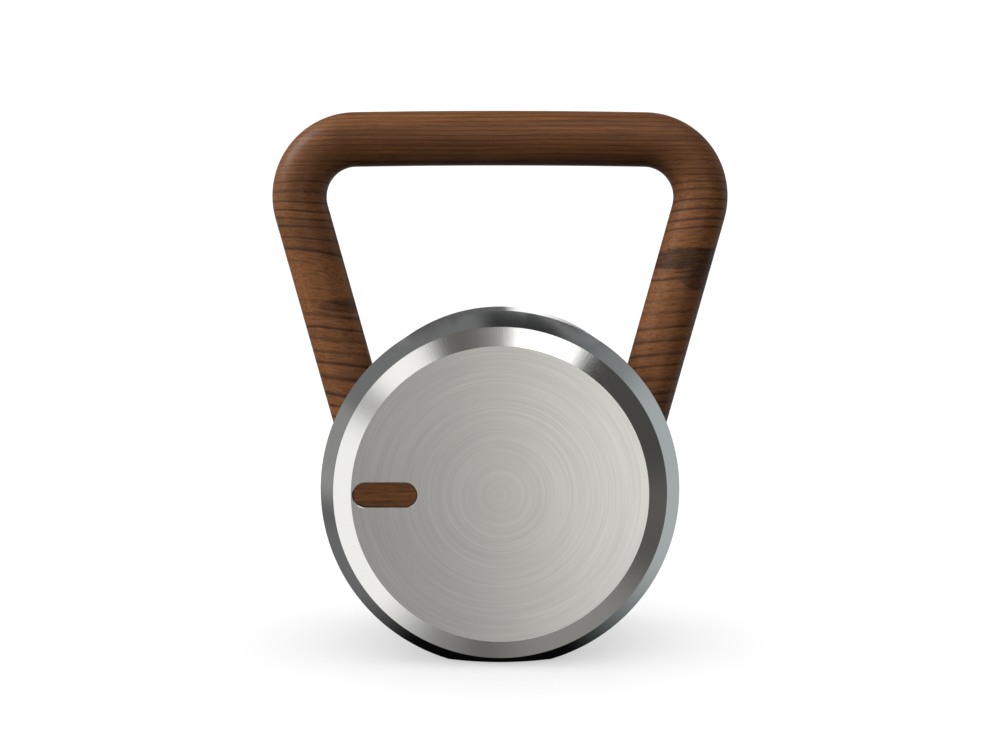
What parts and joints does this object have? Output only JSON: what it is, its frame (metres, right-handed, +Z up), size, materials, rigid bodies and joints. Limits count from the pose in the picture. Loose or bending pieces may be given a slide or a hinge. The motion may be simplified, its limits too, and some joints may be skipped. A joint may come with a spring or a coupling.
{
  "type": "kettlebell",
  "caption": "Kettlebell with a bevelled steel drum lying on its side and a walnut loop handle rising from its sides.",
  "frame": {"origin": "on the floor, under the middle of the drum", "axes": "+Z up; +Y along the drum's axis towards the bolted rear face, so the inlaid face looks towards -Y; +X to the right seen from the front"},
  "size_m": [0.2396, 0.124, 0.2805],
  "materials": {
    "drum_steel": "fine-turned stainless, bevelled ends",
    "plate_steel": "face turned in fine concentric rings, bevel brushed round",
    "core_steel": "plain bright mild steel",
    "bolt_steel": "plain stainless fixings",
    "ballast_steel": "sawn and faced mild steel",
    "handle_walnut": "oiled walnut, satin, grain running level",
    "inlay_walnut": "oiled walnut, fine grain",
    "splice_wood": "plain beech",
    "inner_rubber": "plain black",
    "foot_rubber": "matt black"
  },
  "bodies": {
    "root": {"core_coupler": "core_steel", "coupler_pins": "core_steel", "face_inlay": "inlay_walnut", "foot_pad": "foot_rubber", "front_ballast_disc": "ballast_steel", "front_face_plate": "plate_steel", "front_plate_key": "core_steel", "front_rattle_pad": "inner_rubber", "front_seal_ring": "inner_rubber", "handle_front_half": "handle_walnut", "handle_rear_half": "handle_walnut", "handle_splices": "splice_wood", "left_bolt_washer": "bolt_steel", "left_core_rod": "core_steel", "left_handle_bolt": "bolt_steel", "left_saddle_block": "core_steel", "middle_ballast_disc": "ballast_steel", "rear_ballast_disc": "ballast_steel", "rear_face_plate": "plate_steel", "rear_plate_key": "core_steel", "rear_rattle_pad": "inner_rubber", "rear_seal_ring": "inner_rubber", "right_bolt_washer": "bolt_steel", "right_core_rod": "core_steel", "right_handle_bolt": "bolt_steel", "right_saddle_block": "core_steel", "tie_bolt": "bolt_steel", "tie_bolt_washer": "bolt_steel", "weight_drum": "drum_steel"}
  },
  "joints": []
}
